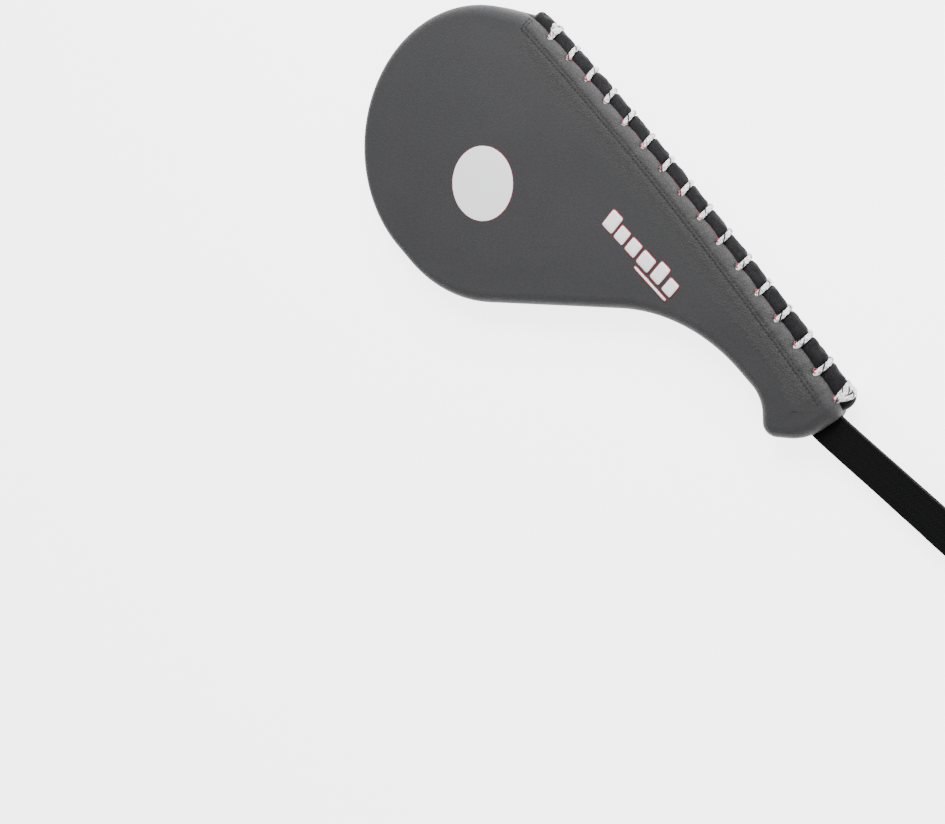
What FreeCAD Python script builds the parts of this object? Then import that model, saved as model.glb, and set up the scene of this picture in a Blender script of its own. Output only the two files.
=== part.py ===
import FreeCAD, Part
import math
import os

from FreeCAD import Matrix, Vector

# Laced kick paddle, lying on its back cover. Millimetres, +Z up.
# +X runs from the round head to the handle end, +Y towards the laced side.
# The origin is under the centre of the round head, on the resting plane.

# Driving dimensions
THICKNESS = 28.0
EDGE_ROUND = 8.0
COVER_WALL = 1.2
FACING_WALL = 0.7
HEM_GAP = 12.0
FIT = 0.15
LACED_EDGE_RADIUS = 2540.0
LACE_ROOM = 11.5
LACE_DIAMETER = 3.4
LACE_HOLE_DIAMETER = 4.2
LACE_PITCH = 19.9
LACE_HOLES = 16
FIRST_HOLE = 9.0
TONGUE_RADIUS = 6.2
TONGUE_SKIN = 1.1
SPOT_DIAMETER = 50.0
SPOT_FILM = 0.3
STRAP_WIDTH = 21.0
STRAP_PLY = 1.8
STRAP_REACH = 158.0
STRAP_TURN_DEG = -5.6
HANDLE_TURN_DEG = -11.0
HANDLE_END_TURN_DEG = -21.0
STIFFENER_WIDTH = 24.0
STIFFENER_THICKNESS = 2.4
CUT_REACH = 9.0
CUT_OVERRUN = 30.0
OPENING_START = -5.0
OPENING_OVERRUN = 12.0
TONGUE_START = -4.9
TONGUE_OVERRUN = 5.0
FILLER_START = -3.6
FILLER_OVERRUN = 3.5
PRINT_BARS = ((0.0, 9.5, 13.0), (11.5, 8.5, 10.0), (22.5, 9.0, 10.0), (34.0, 11.0, 10.0), (47.5, 8.5, 13.0), (59.0, 8.0, 10.0))
PRINT_LINE = (36.0, -4.0, 30.0, 1.6)
PRINT_PLACE = (119.0, 19.0)
PRINT_TURN_DEG = -10.0

MID = THICKNESS / 2
SPOT_CENTRE = Vector(26.0, -9.0, 0)
STRAP_PIVOT = Vector(312.2, -1.5, MID)

# Outline of the covers at mid-thickness, clockwise seen from the front:
# each entry is a corner and the radius of the arc that rounds it.
LACE_START_CORNER = (-2.0, 101.4, 40.0)
LACE_MID_CORNER = (157.0, 68.5, LACED_EDGE_RADIUS)
HANDLE_END_CORNER = (316.0, 15.5, 9.0)
OUTLINE = [
    LACE_START_CORNER,
    LACE_MID_CORNER,
    HANDLE_END_CORNER,
    (304.6, -14.1, 31.6),
    (281.8, -29.0, 9.4),
    (267.8, -9.4, 25.2),
    (198.1, 5.4, 121.0),
    (36.3, -98.3, 99.6),
    (-93.2, -75.4, 93.0),
    (-95.0, 73.6, 94.9),
]


def rounded_corner(before, corner, after):
    """Start, middle, end and centre of the arc that rounds one corner."""
    point = Vector(corner[0], corner[1], 0)
    back = (Vector(before[0], before[1], 0) - point).normalize()
    ahead = (Vector(after[0], after[1], 0) - point).normalize()
    half = back.getAngle(ahead) / 2
    run = corner[2] / math.tan(half)
    bisector = (back + ahead).normalize()
    centre = point + bisector * (corner[2] / math.sin(half))
    middle = centre - bisector * corner[2]
    return point + back * run, middle, point + ahead * run, centre


def outline_wire(inset):
    """Closed chain of straight runs and tangent arcs, drawn in by inset all round."""
    count = len(OUTLINE)
    arcs = []
    for i in range(count):
        before, corner, after = OUTLINE[i - 1], OUTLINE[i], OUTLINE[(i + 1) % count]
        start, middle, end, centre = rounded_corner(before, corner, after)
        turn = (corner[0] - before[0]) * (after[1] - corner[1]) - (corner[1] - before[1]) * (after[0] - corner[0])
        grown = corner[2] + math.copysign(inset, turn)
        arcs.append([centre + (point - centre) * (grown / corner[2]) for point in (start, middle, end)])
    edges = []
    for i in range(count):
        start, middle, end = arcs[i]
        edges.append(Part.Arc(start, middle, end).toShape())
        following = arcs[(i + 1) % count][0]
        if end.distanceToPoint(following) > 0.01:
            edges.append(Part.LineSegment(end, following).toShape())
    return Part.Wire(edges)


LACE_ARC = rounded_corner(LACE_START_CORNER, LACE_MID_CORNER, HANDLE_END_CORNER)
LACE_CENTRE = LACE_ARC[3]
LACE_ANGLE = math.atan2(LACE_ARC[0].y - LACE_CENTRE.y, LACE_ARC[0].x - LACE_CENTRE.x)
LACE_LENGTH = LACED_EDGE_RADIUS * (LACE_ARC[0] - LACE_CENTRE).getAngle(LACE_ARC[2] - LACE_CENTRE)


def lace_point(along, out, z):
    """Point by its place along the laced edge, its distance outside it and its height."""
    angle = LACE_ANGLE - along / LACED_EDGE_RADIUS
    reach = LACED_EDGE_RADIUS + out
    return LACE_CENTRE + Vector(reach * math.cos(angle), reach * math.sin(angle), z)


def along_laced_edge(edges, start, end):
    """Turn a closed section, drawn in (out, z), from start to end along the laced edge."""
    face = Part.Face(Part.Wire(edges))
    turn = math.degrees(LACE_ANGLE - start / LACED_EDGE_RADIUS)
    face.Placement = FreeCAD.Placement(LACE_CENTRE, FreeCAD.Rotation(Vector(0, 0, 1), turn))
    sweep = math.degrees((end - start) / LACED_EDGE_RADIUS)
    return face.revolve(LACE_CENTRE, Vector(0, 0, 1), -sweep)


def section_point(out, z):
    return Vector(LACED_EDGE_RADIUS + out, 0, z)


def section_box(out_low, out_high, z_low, z_high):
    corners = [(out_low, z_low), (out_high, z_low), (out_high, z_high), (out_low, z_high), (out_low, z_low)]
    points = [section_point(out, z) for out, z in corners]
    return [Part.LineSegment(points[i], points[i + 1]).toShape() for i in range(4)]


def block_edges_at(solid, z):
    """Edges of a slab that lie in the plane at height z."""
    found = []
    for edge in solid.Edges:
        box = edge.BoundBox
        if abs(box.ZMin - z) < 1e-4 and abs(box.ZMax - z) < 1e-4:
            found.append(edge)
    return found


def padded_block(inset, z_low, z_high, round_low, round_high):
    """The outline drawn in by inset, with its lower and upper rims rounded."""
    block = Part.Face(outline_wire(inset)).extrude(Vector(0, 0, z_high - z_low))
    block.translate(Vector(0, 0, z_low))
    if round_low > 0:
        block = block.makeFillet(round_low, block_edges_at(block, z_low))
    if round_high > 0:
        block = block.makeFillet(round_high, block_edges_at(block, z_high))
    return block


def slab(z_low, z_high):
    """A block wider than the paddle, used to keep one layer of its thickness."""
    return Part.makeBox(520, 320, z_high - z_low, Vector(-160, -160, z_low))


def at_pivot(shape, turn_deg):
    """Place a shape drawn from the pivot along +X, turned about the vertical."""
    shape.rotate(Vector(0, 0, 0), Vector(0, 0, 1), turn_deg)
    shape.translate(STRAP_PIVOT)
    return shape


# The lace winds round the tongue as a flattened helix, through both rows of holes.
LACE_OUT_CENTRE = -1.7
LACE_OUT_REACH = 8.3
LACE_Z_REACH = 10.4
LACE_STEPS = 6
HOLE_LIFT = LACE_Z_REACH * math.cos(math.pi / LACE_STEPS)


def lace_holes(side):
    """Drills for the lace holes of one cover: side +1 is the front, -1 the back."""
    slant = side * LACE_PITCH / LACE_STEPS / LACE_OUT_REACH
    first = FIRST_HOLE if side > 0 else FIRST_HOLE - LACE_PITCH / 2
    drills = []
    for i in range(LACE_HOLES):
        along = first + i * LACE_PITCH
        inner = lace_point(along + 6.0 * slant, LACE_OUT_CENTRE - 6.0, MID + side * HOLE_LIFT)
        outer = lace_point(along - 6.0 * slant, LACE_OUT_CENTRE + 6.0, MID + side * HOLE_LIFT)
        drills.append(Part.makeCylinder(LACE_HOLE_DIAMETER / 2, (outer - inner).Length, inner, outer - inner))
    return Part.makeCompound(drills)


def lace_route():
    """Corner points of the lace, from inside the first back hole to inside the last front hole."""
    points = []
    first_turn = -0.5
    steps = int((LACE_HOLES - 1 - first_turn) * LACE_STEPS)
    for i in range(-1, steps + 1):
        turns = first_turn + (i + 0.5) / LACE_STEPS
        angle = 2 * math.pi * turns
        out = LACE_OUT_CENTRE - LACE_OUT_REACH * math.sin(angle)
        points.append(lace_point(FIRST_HOLE + turns * LACE_PITCH, out, MID + LACE_Z_REACH * math.cos(angle)))
    return points


def rounded_path(points):
    """Straight runs through the points, joined by tangent arcs as large as they allow."""
    edges = []
    last = points[0]
    smallest = 1e9
    for i in range(1, len(points) - 1):
        back = points[i - 1] - points[i]
        ahead = points[i + 1] - points[i]
        shorter = min(back.Length, ahead.Length)
        half = back.getAngle(ahead) / 2
        run = 0.45 * shorter
        radius = run * math.tan(half)
        smallest = min(smallest, radius)
        back.normalize()
        ahead.normalize()
        start = points[i] + back * run
        end = points[i] + ahead * run
        bisector = (back + ahead).normalize()
        middle = points[i] + bisector * (radius / math.sin(half) - radius)
        edges.append(Part.LineSegment(last, start).toShape())
        edges.append(Part.Arc(start, middle, end).toShape())
        last = end
    edges.append(Part.LineSegment(last, points[-1]).toShape())
    print("lace: smallest arc radius %.2f mm" % smallest)
    return Part.Wire(edges)


def make_lace():
    path = rounded_path(lace_route())
    start = path.Edges[0].valueAt(path.Edges[0].FirstParameter)
    heading = path.Edges[0].tangentAt(path.Edges[0].FirstParameter)
    profile = Part.Wire(Part.makeCircle(LACE_DIAMETER / 2, start, heading))
    tube = path.makePipeShell([profile], True, False)
    expected = math.pi * LACE_DIAMETER ** 2 / 4 * path.Length
    print("lace: length %.0f mm, volume %.3f of section times length" % (path.Length, tube.Volume / expected))
    return tube


def make_knot(along, out, z, radius_along, radius_out, radius_up):
    """An oval knot, with its three radii along the laced edge, outwards and upwards."""
    ball = Part.makeSphere(1.0)
    stretch = Matrix()
    stretch.scale(radius_along, radius_out, radius_up)
    knot = ball.transformGeometry(stretch)
    knot.rotate(Vector(0, 0, 0), Vector(0, 0, 1), math.degrees(LACE_ANGLE) - 90)
    knot.translate(lace_point(along, out, z))
    return knot


def tongue_section(shrink):
    """A half-round bulge outwards, closed by a shallow curve behind."""
    radius = TONGUE_RADIUS - shrink
    centre = -2.9
    top = section_point(centre, MID + radius)
    bottom = section_point(centre, MID - radius)
    bulge = Part.Arc(bottom, section_point(centre + radius, MID), top).toShape()
    back = Part.Arc(top, section_point(centre - 1.8 + shrink, MID), bottom).toShape()
    return [bulge, back]


def facing_section():
    """Curved strip that lines the shoulder of the front cover, in from the hem."""
    inner = EDGE_ROUND - COVER_WALL - FIT - FACING_WALL
    outer = EDGE_ROUND - COVER_WALL - FIT
    low, high = math.radians(8.0), math.radians(80.0)
    middle = (low + high) / 2

    def on_arc(radius, angle):
        return section_point(-EDGE_ROUND + radius * math.cos(angle), THICKNESS - EDGE_ROUND + radius * math.sin(angle))

    outside = Part.Arc(on_arc(outer, low), on_arc(outer, middle), on_arc(outer, high)).toShape()
    inside = Part.Arc(on_arc(inner, high), on_arc(inner, middle), on_arc(inner, low)).toShape()
    top = Part.LineSegment(on_arc(outer, high), on_arc(inner, high)).toShape()
    hem = Part.LineSegment(on_arc(inner, low), on_arc(outer, low)).toShape()
    return [outside, top, inside, hem]


def make_facings():
    """Hem linings of both covers: the back one mirrors the front one about mid-thickness."""
    front = along_laced_edge(facing_section(), 2.0, LACE_LENGTH - 8.0)
    back = front.mirror(Vector(0, 0, MID), Vector(0, 0, 1))
    return front.cut(lace_holes(1)), back.cut(lace_holes(-1))


def make_covers(strap_slot, front_holes, back_holes):
    """Both covers: one rounded shell, split in the side seam and open at the laced edge."""
    outer = padded_block(0, 0, THICKNESS, EDGE_ROUND, EDGE_ROUND)
    rim = EDGE_ROUND - COVER_WALL
    inner = padded_block(COVER_WALL, COVER_WALL, THICKNESS - COVER_WALL, rim, rim)
    gap = section_box(-CUT_REACH, CUT_REACH, MID - HEM_GAP / 2, MID + HEM_GAP / 2)
    opening = along_laced_edge(gap, OPENING_START, LACE_LENGTH + OPENING_OVERRUN)
    shell = outer.cut(inner).cut(opening).cut(strap_slot)
    spot = Part.makeCylinder(SPOT_DIAMETER / 2, SPOT_FILM, SPOT_CENTRE)
    front = shell.common(slab(MID, THICKNESS + 5)).cut(front_holes)
    front = front.cut(spot.translated(Vector(0, 0, THICKNESS - SPOT_FILM)))
    back = shell.common(slab(-5, MID)).cut(back_holes).cut(spot)
    return front, back


def make_spot(z):
    return Part.makeCylinder(SPOT_DIAMETER / 2, SPOT_FILM, SPOT_CENTRE + Vector(0, 0, z))


def foam_layer(z_low, z_high, round_low, round_high):
    """One foam sheet, cut back along the laced edge to leave room for the lace."""
    layer = padded_block(COVER_WALL + FIT, z_low, z_high, round_low, round_high)
    section = section_box(-LACE_ROOM, CUT_REACH, -5.0, THICKNESS + 5.0)
    room = along_laced_edge(section, -CUT_OVERRUN, LACE_LENGTH + CUT_OVERRUN)
    return layer.cut(room)


def lace_channel():
    """The space behind the laced edge that the lace's inner runs pass through."""
    reach = LACE_ROOM + 0.6
    return along_laced_edge(section_box(-reach, CUT_REACH, -5.0, THICKNESS + 5.0), -CUT_OVERRUN, LACE_LENGTH - 3.5)


def handle_bar(length, width, z_low, z_high, start):
    """A flat bar laid along the handle, from start mm inside the pivot towards the head."""
    bar = Part.makeBox(length, width, z_high - z_low, Vector(-start - length, -width / 2, z_low - MID))
    return at_pivot(bar, HANDLE_TURN_DEG)


PLY_PAIR = 2 * STRAP_PLY
TAIL_TOP = MID + PLY_PAIR / 2
TAIL_BOTTOM = MID - PLY_PAIR / 2
PIVOT_GAP = 2.2
TAIL_LENGTH = 62.0
STIFFENER_LENGTH = 215.0
RIVET_PLACES = (26.0, 46.0)
RIVET_RADIUS = 2.0
RIVET_HEAD_RADIUS = 4.5
RIVET_HEAD = 1.2


def make_strap_tails():
    """The two plies of webbing inside the handle, up to just short of the pivot."""
    tails = handle_bar(TAIL_LENGTH + 12.0, STRAP_WIDTH, TAIL_BOTTOM, TAIL_TOP, -12.0)
    beyond = Part.makeBox(30, 60, 20, Vector(-PIVOT_GAP, -30, -10))
    return tails.cut(at_pivot(beyond, HANDLE_END_TURN_DEG)).cut(lace_channel())


def make_stiffener():
    """Flat spring board under the strap tails, from the handle into the head."""
    low = TAIL_BOTTOM - FIT - STIFFENER_THICKNESS
    board = handle_bar(STIFFENER_LENGTH, STIFFENER_WIDTH, low, low + STIFFENER_THICKNESS, 14.0)
    upright = [edge for edge in board.Edges if edge.BoundBox.ZLength > STIFFENER_THICKNESS - 0.01]
    return board.makeFillet(8.0, upright).cut(lace_channel())


def rivet_column(radius, z_low, z_high, extra=0.0):
    """Upright cylinders at each rivet place."""
    columns = []
    for place in RIVET_PLACES:
        column = Part.makeCylinder(radius + extra, z_high - z_low, Vector(-place, 0, z_low - MID))
        columns.append(at_pivot(column, HANDLE_TURN_DEG))
    return columns


def make_rivets():
    low = TAIL_BOTTOM - FIT - STIFFENER_THICKNESS
    heads = rivet_column(RIVET_HEAD_RADIUS, TAIL_TOP, TAIL_TOP + RIVET_HEAD)
    shanks = rivet_column(RIVET_RADIUS, low - RIVET_HEAD, TAIL_TOP)
    return Part.makeCompound([head.fuse(shank).removeSplitter() for head, shank in zip(heads, shanks)])


def make_washers():
    low = TAIL_BOTTOM - FIT - STIFFENER_THICKNESS
    rings = rivet_column(RIVET_HEAD_RADIUS, low - RIVET_HEAD, low)
    holes = rivet_column(RIVET_RADIUS, low - RIVET_HEAD, low)
    return Part.makeCompound([ring.cut(hole) for ring, hole in zip(rings, holes)])


def drilled(shape):
    """The shape with the rivets' holes through it."""
    return shape.cut(Part.makeCompound(rivet_column(RIVET_RADIUS, 0, THICKNESS)))


EYE_START = 116.0
EYE_SWELL = 20.0
EYE_HALF_HEIGHT = 6.0
FLOOR_CLEARANCE = 0.3


def loop_side(half_root, half_eye, start, nose, sign):
    """One long side of the loop's edge-on outline: flat, then swelling into the eye."""
    return [
        Vector(start, 0, sign * half_root),
        Vector(EYE_START, 0, sign * half_root),
        Vector(EYE_START + EYE_SWELL, 0, sign * half_eye),
        Vector(nose, 0, sign * half_eye),
    ]


def loop_slab(half_root, half_eye, start, nose, width):
    """Solid between the two sides, with a round nose, centred on the strap's line."""
    top = loop_side(half_root, half_eye, start, nose, 1)
    low = loop_side(half_root, half_eye, start, nose, -1)
    edges = [Part.LineSegment(low[i], low[i + 1]).toShape() for i in range(3)]
    edges.append(Part.Arc(low[3], Vector(nose + half_eye, 0, 0), top[3]).toShape())
    edges += [Part.LineSegment(top[i], top[i - 1]).toShape() for i in (3, 2, 1)]
    edges.append(Part.LineSegment(top[0], low[0]).toShape())
    solid = Part.Face(Part.Wire(edges)).extrude(Vector(0, width, 0))
    solid.translate(Vector(0, -width / 2, 0))
    return solid


def make_wrist_loop():
    """The webbing loop outside the handle: two plies together, then an eye at the far end."""
    nose = STRAP_REACH - EYE_HALF_HEIGHT
    body = loop_slab(PLY_PAIR / 2, EYE_HALF_HEIGHT, -14.0, nose, STRAP_WIDTH)
    hollow = loop_slab(0.05, EYE_HALF_HEIGHT - STRAP_PLY, EYE_START + 3.0, nose, STRAP_WIDTH + 2)
    loop = body.cut(hollow)
    skew = math.radians(STRAP_TURN_DEG - HANDLE_END_TURN_DEG)
    loop.rotate(Vector(0, 0, 0), Vector(0, 0, 1), math.degrees(skew))
    root_length = STRAP_WIDTH / math.cos(skew) - PLY_PAIR / 2
    root = Part.makeCylinder(PLY_PAIR / 2, root_length, Vector(0, -root_length / 2, 0), Vector(0, 1, 0))
    loop = loop.cut(Part.makeBox(60, 80, 20, Vector(-60, -40, -10))).fuse(root).removeSplitter()
    fall = math.degrees(math.asin((MID - EYE_HALF_HEIGHT - FLOOR_CLEARANCE) / (nose * math.cos(skew))))
    loop.rotate(Vector(0, 0, 0), Vector(0, 1, 0), fall)
    return at_pivot(loop, HANDLE_END_TURN_DEG)


def make_print():
    """Six slanted bars and an underline, laid into the front cover."""
    bars = [Part.makeBox(width, height, SPOT_FILM, Vector(x, 0, 0)) for x, width, height in PRINT_BARS]
    line_x, line_y, line_width, line_height = PRINT_LINE
    bars.append(Part.makeBox(line_width, line_height, SPOT_FILM, Vector(line_x, line_y, 0)))
    mark = Part.makeCompound(bars)
    mark.rotate(Vector(0, 0, 0), Vector(0, 0, 1), PRINT_TURN_DEG)
    mark.translate(Vector(*PRINT_PLACE, THICKNESS - SPOT_FILM))
    return mark


def export(shape, name):
    os.makedirs("parts", exist_ok=True)
    shape.exportStep("parts/%s.step" % name)
    print("%-20s solids %d valid %s volume %.1f" % (name, len(shape.Solids), shape.isValid(), shape.Volume))


def main():
    foam_rim = EDGE_ROUND - COVER_WALL - FIT
    low = COVER_WALL + FIT
    layer = (THICKNESS - 2 * low) / 3
    lace = make_lace()
    tails = make_strap_tails()
    stiffener = make_stiffener()
    rivets = make_rivets()
    washers = make_washers()
    slot = handle_bar(30.0, STRAP_WIDTH + 0.4, TAIL_BOTTOM - 0.2, TAIL_TOP + 0.2, 0.0)
    front, back = make_covers(slot, lace_holes(1), lace_holes(-1))
    print_mark = make_print()
    front = front.cut(print_mark)
    pocket = handle_bar(TAIL_LENGTH + 4, STRAP_WIDTH + 1, TAIL_BOTTOM - 0.1, TAIL_TOP + RIVET_HEAD + 0.2, PIVOT_GAP)
    board_low = TAIL_BOTTOM - FIT - STIFFENER_THICKNESS
    board_room = handle_bar(STIFFENER_LENGTH + 2, STIFFENER_WIDTH + 1, board_low - 0.1, TAIL_BOTTOM, 13.0)
    washer_room = handle_bar(40.0, 11.0, board_low - RIVET_HEAD - 0.2, board_low, 16.0)
    middle = foam_layer(low + layer, low + 2 * layer, 0, 0).cut(pocket).cut(board_room).cut(washer_room)
    bottom = foam_layer(low, low + layer - FIT, foam_rim, 0).cut(washer_room)
    top = foam_layer(low + 2 * layer + FIT, THICKNESS - low, 0, foam_rim).cut(pocket)
    parts = {
        "front_cover": front,
        "back_cover": back,
        "front_foam": top,
        "middle_foam": middle,
        "back_foam": bottom,
        "handle_stiffener": drilled(stiffener),
        "strap_tails": drilled(tails),
        "strap_rivets": rivets,
        "rivet_washers": washers,
        "wrist_loop": make_wrist_loop(),
        "lace": lace,
        "front_target_spot": make_spot(THICKNESS - SPOT_FILM),
        "back_target_spot": make_spot(0),
        "front_print": print_mark,
    }
    skin = along_laced_edge(tongue_section(0), TONGUE_START, LACE_LENGTH + TONGUE_OVERRUN)
    filling = along_laced_edge(tongue_section(TONGUE_SKIN), FILLER_START, LACE_LENGTH + FILLER_OVERRUN)
    parts["lacing_tongue"] = skin.cut(filling)
    start_knot = make_knot(FIRST_HOLE - 5.0, 4.6, MID + 4.0, 3.6, 3.0, 4.2)
    end_knot = make_knot(LACE_LENGTH + 2.0, 5.0, MID + 3.0, 4.6, 3.2, 5.2)
    parts["lace_start_knot"] = start_knot.cut(skin).cut(lace)
    parts["lace_end_knot"] = end_knot.cut(skin).cut(lace)
    parts["tongue_filler"] = filling
    parts["front_hem_facing"], parts["back_hem_facing"] = make_facings()
    for name, shape in parts.items():
        export(shape, name)
    return parts


main()
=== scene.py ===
import math

import bmesh
import bpy
import numpy as np
from bpy.props import FloatProperty, FloatVectorProperty, IntProperty, PointerProperty
from bpy.types import Operator, Panel, PropertyGroup
from mathutils import Matrix


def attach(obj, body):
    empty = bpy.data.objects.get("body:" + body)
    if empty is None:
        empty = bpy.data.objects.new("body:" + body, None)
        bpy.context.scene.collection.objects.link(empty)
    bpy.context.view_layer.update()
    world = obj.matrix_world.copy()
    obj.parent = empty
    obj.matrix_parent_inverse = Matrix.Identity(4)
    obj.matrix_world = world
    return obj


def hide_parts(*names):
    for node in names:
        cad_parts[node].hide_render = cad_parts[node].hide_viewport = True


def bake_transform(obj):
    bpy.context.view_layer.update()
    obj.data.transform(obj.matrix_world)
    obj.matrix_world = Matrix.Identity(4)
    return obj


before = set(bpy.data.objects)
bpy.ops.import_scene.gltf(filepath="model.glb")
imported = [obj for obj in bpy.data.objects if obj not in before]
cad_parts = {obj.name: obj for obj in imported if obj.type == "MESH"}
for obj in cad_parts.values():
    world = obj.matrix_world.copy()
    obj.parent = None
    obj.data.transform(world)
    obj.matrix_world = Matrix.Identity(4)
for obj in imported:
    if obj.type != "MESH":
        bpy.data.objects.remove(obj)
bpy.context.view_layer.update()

bl_info = {
    "name": "Laced Kick Paddle",
    "version": (1, 0, 0),
    "blender": (4, 5, 0),
    "location": "3D View > Sidebar > Paddle",
    "description": "Builds the padded, laced and stitched finish of a kick paddle round its packed model",
    "category": "Object",
}

# The model's own sizes, in millimetres, as the part's source has them.
MM = 0.001
THICKNESS = 28.0
MID = THICKNESS / 2
EDGE_ROUND = 8.0
WALL_TOP = THICKNESS - EDGE_ROUND
HEM_LIFT = 6.0
LACED_EDGE_RADIUS = 2540.0
FIRST_HOLE = 9.0
LACE_PITCH = 19.9
LACE_HOLES = 16
STRAP_PIVOT = np.array([312.2, -1.5, 14.0])
STRAP_WIDTH = 21.0
STRAP_PLY = 1.8
STRAP_REACH = 158.0
TAIL_LENGTH = 62.0
EYE_HALF = 6.0
FLOOR_GAP = 0.3
SPOT_CENTRE = np.array([26.0, -9.0])

# Directions in plan of the handle's end, of the strap outside it and of the tails inside it.
END_TURN = math.radians(-21.0)
STRAP_TURN = math.radians(-5.6)
TAIL_TURN = math.radians(-11.0)

# The printed mark: its place and lean, and each bar's start, width, height and low edge.
MARK_PLACE = (119.0, 19.0)
MARK_LEAN = math.radians(-10.0)
MARK_BARS = np.array([
    (0.0, 9.5, 13.0, 0.0),
    (11.5, 8.5, 10.0, 0.0),
    (22.5, 9.0, 10.0, 0.0),
    (34.0, 11.0, 10.0, 0.0),
    (47.5, 8.5, 13.0, 0.0),
    (59.0, 8.0, 10.0, 0.0),
    (36.0, 30.0, 1.6, -4.0),
])

# Each corner of the outline: x, y and the radius that rounds it.
OUTLINE = np.array([
    (-2.0, 101.4, 40.0),
    (157.0, 68.5, LACED_EDGE_RADIUS),
    (316.0, 15.5, 9.0),
    (304.6, -14.1, 31.6),
    (281.8, -29.0, 9.4),
    (267.8, -9.4, 25.2),
    (198.1, 5.4, 121.0),
    (36.3, -98.3, 99.6),
    (-93.2, -75.4, 93.0),
    (-95.0, 73.6, 94.9),
])

# The camera's lens in millimetres, and its place in metres and its three axes.
CAMERA_LENS = 54.29
CAMERA_RIGHT = (0.68382, 0.42585, -0.59248)
CAMERA_UP = (-0.60266, 0.78740, -0.12961)
CAMERA_BACK = (0.41133, 0.44570, 0.79509)
CAMERA_PLACE = (0.50962, 0.29528, 0.81747)

# Half the size of the floor, and how far it lies under the paddle, in metres.
FLOOR_HALF = 12.0
FLOOR_LEVEL = -0.7 * MM


# ---------------------------------------------------------------- small sums used throughout


def unit(vectors):
    """Each vector divided by its own length."""
    return vectors / np.linalg.norm(vectors, axis=-1, keepdims=True)


def run_along(path):
    """Distance along a path at each of its points."""
    return np.concatenate([[0], np.cumsum(np.linalg.norm(np.diff(path, axis=0), axis=1))])


def round_angles(count):
    """Evenly spaced angles once round a circle."""
    return np.linspace(0, 2 * math.pi, count, endpoint=False)


def ease(value):
    """Smooth step: 0 below 0, 1 above 1, level at both ends."""
    value = np.clip(value, 0, 1)
    return value * value * (3 - 2 * value)


def between(value, start, rise, end, fall):
    """1 between start and end: it eases up over rise after start and down over fall before end."""
    return ease((value - start) / rise) * ease((end - value) / fall)


def bell(value, width, power=2):
    """1 at zero and falling away on both sides: e to the minus power of the value over the width."""
    return np.exp(-(value / width) ** power)


# ---------------------------------------------------------------- outline of the covers

TRACE_STEP = 0.4


def trace_outline():
    """The outline as rounded corners: each corner's arc touches both of its straight runs.

    Returns the distance along it from the laced edge's start, the points and the outward
    normals, which lie a quarter turn to the left of the way along."""
    corner = OUTLINE[:, :2]
    radius = OUTLINE[:, 2:]
    back = unit(np.roll(corner, 1, axis=0) - corner)
    ahead = unit(np.roll(corner, -1, axis=0) - corner)
    half = np.arccos(np.sum(back * ahead, axis=1, keepdims=True)) / 2
    centre = corner + unit(back + ahead) * radius / np.sin(half)
    start = corner + back * radius / np.tan(half)
    end = corner + ahead * radius / np.tan(half)
    runs = []
    lengths = []
    for i in np.roll(np.arange(len(OUTLINE)), -1):
        first = math.atan2(*(start[i] - centre[i])[::-1])
        last = math.atan2(*(end[i] - centre[i])[::-1])
        sweep = (last - first + math.pi) % (2 * math.pi) - math.pi
        steps = max(8, int(abs(sweep) * radius[i, 0] / TRACE_STEP))
        angle = first + sweep * np.linspace(0, 1, steps, endpoint=False)
        runs.append(centre[i] + radius[i] * np.stack([np.cos(angle), np.sin(angle)], axis=1))
        following = start[(i + 1) % len(OUTLINE)]
        steps = max(1, int(np.linalg.norm(following - end[i]) / TRACE_STEP))
        share = np.linspace(0, 1, steps, endpoint=False)[:, None]
        runs.append(end[i] + (following - end[i]) * share)
        lengths.append(abs(sweep) * radius[i, 0])
    points = np.concatenate(runs)
    points = np.concatenate([points, points[:1]])
    along = run_along(points)
    way = np.gradient(points[:-1], axis=0)
    way[0] = points[1] - points[-2]
    way[-1] = points[0] - points[-3]
    way = unit(way)
    normal = np.stack([-way[:, 1], way[:, 0]], axis=1)
    normal = np.concatenate([normal, normal[:1]])
    return along, points, normal, lengths[0]


EDGE_ALONG, EDGE_POINTS, EDGE_NORMALS, LACE_LENGTH = trace_outline()
EDGE_TOTAL = EDGE_ALONG[-1]


def edge_at(along):
    """Point and outward normal of the outline, by the distance along it from the laced start."""
    place = np.mod(along, EDGE_TOTAL)
    point = np.stack([np.interp(place, EDGE_ALONG, EDGE_POINTS[:, k]) for k in (0, 1)], axis=-1)
    normal = np.stack([np.interp(place, EDGE_ALONG, EDGE_NORMALS[:, k]) for k in (0, 1)], axis=-1)
    return point, unit(normal)


def edge_place(along, out, lift):
    """Point by its distance along the outline, its distance outside it and its height."""
    point, normal = edge_at(along)
    flat = point + normal * np.asarray(out)[..., None]
    return np.concatenate([flat, np.broadcast_to(lift, flat.shape[:-1])[..., None]], axis=-1)


def ripples(u, v, seed, count=14, spread=1.0):
    """Smooth unevenness between about -1 and 1: a sum of plane waves of random heading and phase."""
    draw = np.random.default_rng(seed)
    heading = draw.uniform(0, 2 * math.pi, count)
    pace = draw.uniform(0.5, 1.6, count) * spread
    phase = draw.uniform(0, 2 * math.pi, count)
    height = np.zeros(np.broadcast(u, v).shape)
    for k in range(count):
        way = u * np.cos(heading[k]) + v * np.sin(heading[k])
        height = height + np.sin(2 * math.pi * pace[k] * way + phase[k])
    return height / math.sqrt(count / 2) / 1.6


# ---------------------------------------------------------------- meshes from grids


def merge_points(mesh):
    """Merges points that fell together and drops the faces they leave with no area."""
    work = bmesh.new()
    work.from_mesh(mesh)
    bmesh.ops.remove_doubles(work, verts=work.verts, dist=2e-6)
    bmesh.ops.dissolve_degenerate(work, edges=work.edges, dist=1e-7)
    work.to_mesh(mesh)
    work.free()
    mesh.update()


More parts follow.
